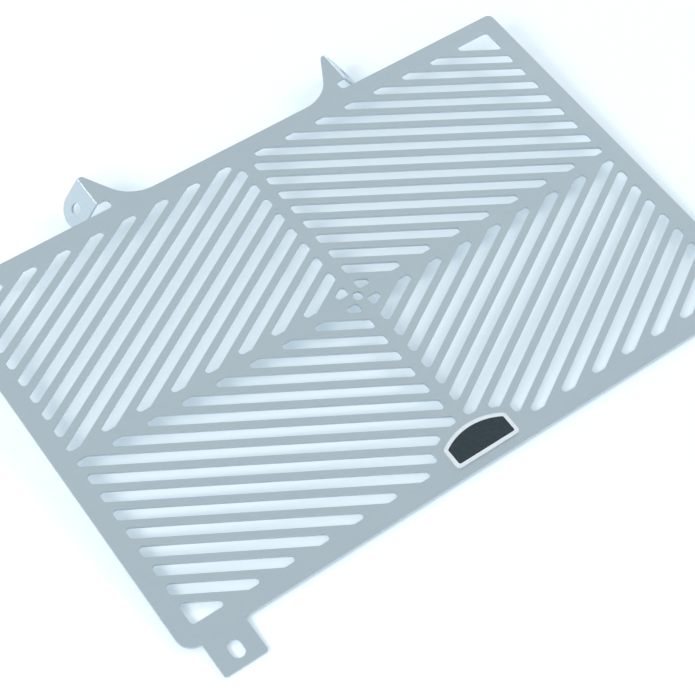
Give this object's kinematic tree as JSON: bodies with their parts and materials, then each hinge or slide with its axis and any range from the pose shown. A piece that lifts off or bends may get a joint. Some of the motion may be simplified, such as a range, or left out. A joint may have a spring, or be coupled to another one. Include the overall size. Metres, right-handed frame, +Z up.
{
  "type": "motorcycle radiator guard",
  "caption": "Flat slotted sheet-metal guard for a motorcycle radiator, with two ears folded into fixing flanges, a fixing tab and a small bare badge.",
  "frame": {"origin": "middle of the part's footprint on the surface that it lies on, face up", "axes": "+X along the face's width, to the right of someone who looks at the face; +Y along its height, towards the ears; +Z up, out of the face"},
  "size_m": [0.36, 0.279, 0.0204],
  "materials": {
    "sheet_steel": "satin, slightly blue",
    "badge_rim": "bright satin",
    "badge_fill": "smooth dark slate, bare"
  },
  "bodies": {
    "root": {"guard_panel": "sheet_steel", "badge_plate": "badge_rim", "badge_field": "badge_fill"}
  },
  "joints": []
}
